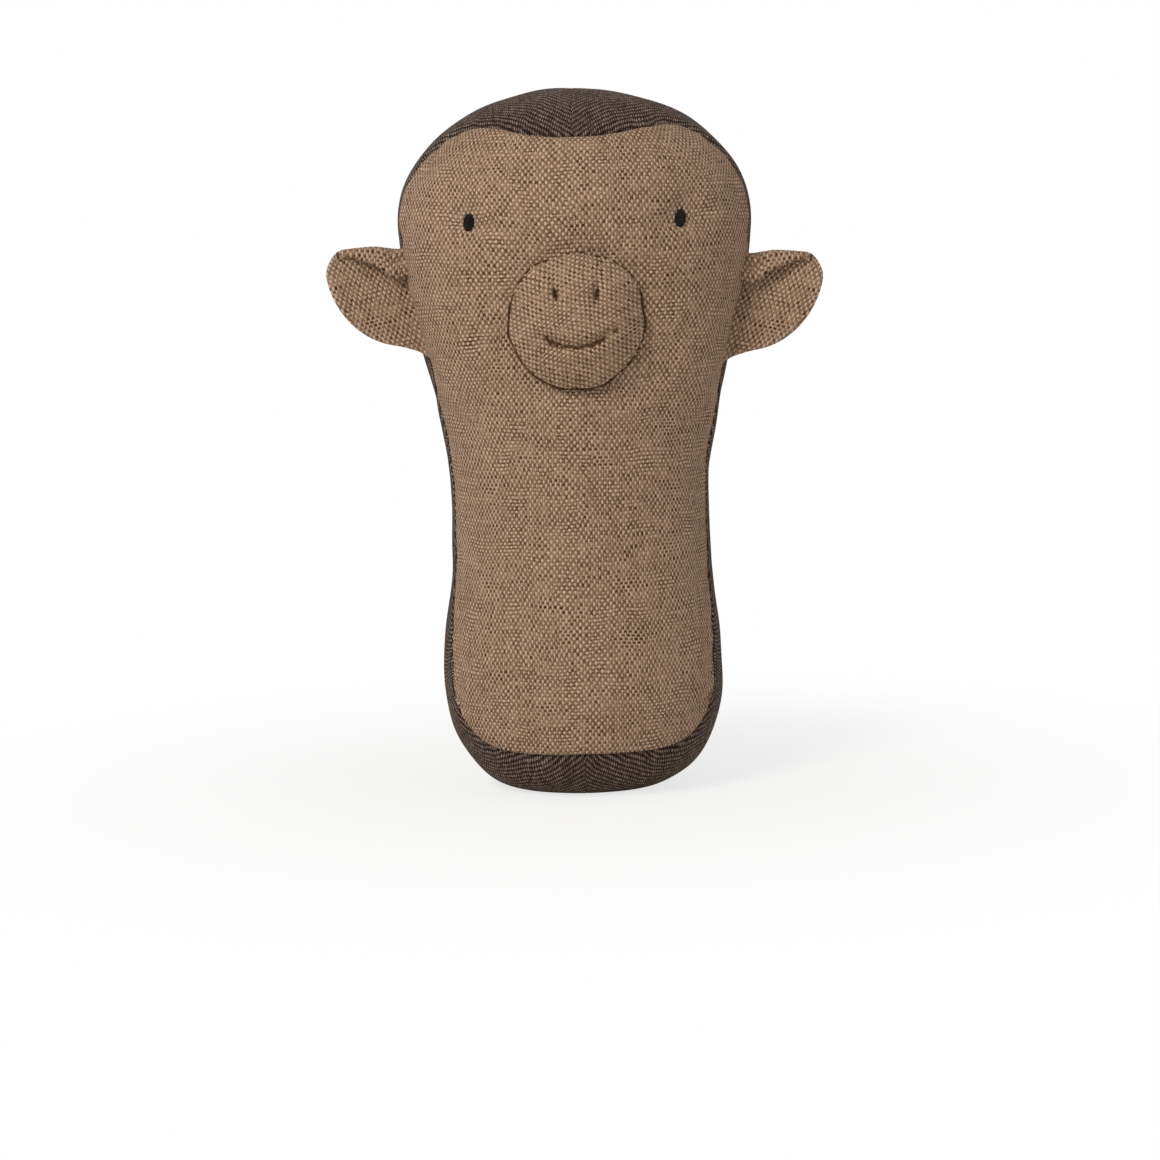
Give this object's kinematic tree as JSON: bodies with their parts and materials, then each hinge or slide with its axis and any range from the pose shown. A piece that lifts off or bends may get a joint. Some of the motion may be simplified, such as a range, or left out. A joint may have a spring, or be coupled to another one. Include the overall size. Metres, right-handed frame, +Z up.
{
  "type": "soft monkey rattle",
  "caption": "Stuffed linen hand rattle shaped as a standing monkey, with folded ears, a raised muzzle, embroidered face and a bead capsule in its head.",
  "frame": {"origin": "on the floor under the middle of the toy", "axes": "+Z up through the crown, the face looks towards -Y, +X to the right in the front view"},
  "size_m": [0.098, 0.0656, 0.141],
  "materials": {
    "tan_linen": "tan plain-weave linen with uneven threads",
    "dark_linen": "dark brown plain-weave linen with uneven threads",
    "black_thread": "near-black satin-stitched embroidery thread",
    "brown_thread": "dark brown sewing thread",
    "fibre_fill": "white loose fibre filling",
    "capsule_plastic": "pale moulded plastic",
    "bead_plastic": "straw-coloured moulded plastic"
  },
  "bodies": {
    "toy": {"face_panel": "tan_linen", "back_panel_left": "dark_linen", "back_panel_right": "dark_linen", "face_seam_thread": "brown_thread", "back_seam_thread_upper": "brown_thread", "closing_thread": "brown_thread", "back_seam_thread_lower": "brown_thread", "muzzle_wad": "fibre_fill", "muzzle_patch": "tan_linen", "muzzle_thread": "brown_thread", "eye_left": "black_thread", "eye_right": "black_thread", "nostril_left": "brown_thread", "nostril_right": "brown_thread", "mouth_thread": "brown_thread", "capsule_cup": "capsule_plastic", "capsule_lid": "capsule_plastic", "body_filling": "fibre_fill", "head_filling_front": "fibre_fill", "head_filling_back": "fibre_fill"},
    "ear_left": {"ear_left_front": "tan_linen", "ear_left_back": "tan_linen"},
    "ear_right": {"ear_right_front": "tan_linen", "ear_right_back": "tan_linen"},
    "bead_1": {"bead_1": "bead_plastic"},
    "bead_2": {"bead_2": "bead_plastic"},
    "bead_3": {"bead_3": "bead_plastic"},
    "bead_4": {"bead_4": "bead_plastic"},
    "bead_5": {"bead_5": "bead_plastic"},
    "bead_6": {"bead_6": "bead_plastic"}
  },
  "joints": [
    {"name": "ear_left_bend", "type": "hinge", "parent": "toy", "child": "ear_left", "pos_m": [-0.0332, -0.0068, 0.0975], "axis": [-0.1794, -0.0583, 0.982], "range_deg": [-30, 20], "stiffness_Nm_per_rad": 0.001},
    {"name": "ear_right_bend", "type": "hinge", "parent": "toy", "child": "ear_right", "pos_m": [0.0332, -0.0068, 0.0975], "axis": [-0.1794, 0.0583, -0.982], "range_deg": [-30, 20], "stiffness_Nm_per_rad": 0.001},
    {"name": "bead_1_bounce", "type": "slide", "parent": "toy", "child": "bead_1", "axis": [0, 0, 1], "range_m": [0, 0.011]},
    {"name": "bead_2_bounce", "type": "slide", "parent": "toy", "child": "bead_2", "axis": [0, 0, 1], "range_m": [0, 0.011]},
    {"name": "bead_3_bounce", "type": "slide", "parent": "toy", "child": "bead_3", "axis": [0, 0, 1], "range_m": [0, 0.011]},
    {"name": "bead_4_bounce", "type": "slide", "parent": "toy", "child": "bead_4", "axis": [0, 0, 1], "range_m": [0, 0.011]},
    {"name": "bead_5_bounce", "type": "slide", "parent": "toy", "child": "bead_5", "axis": [0, 0, 1], "range_m": [0, 0.011]},
    {"name": "bead_6_bounce", "type": "slide", "parent": "toy", "child": "bead_6", "axis": [0, 0, 1], "range_m": [0, 0.011]}
  ]
}
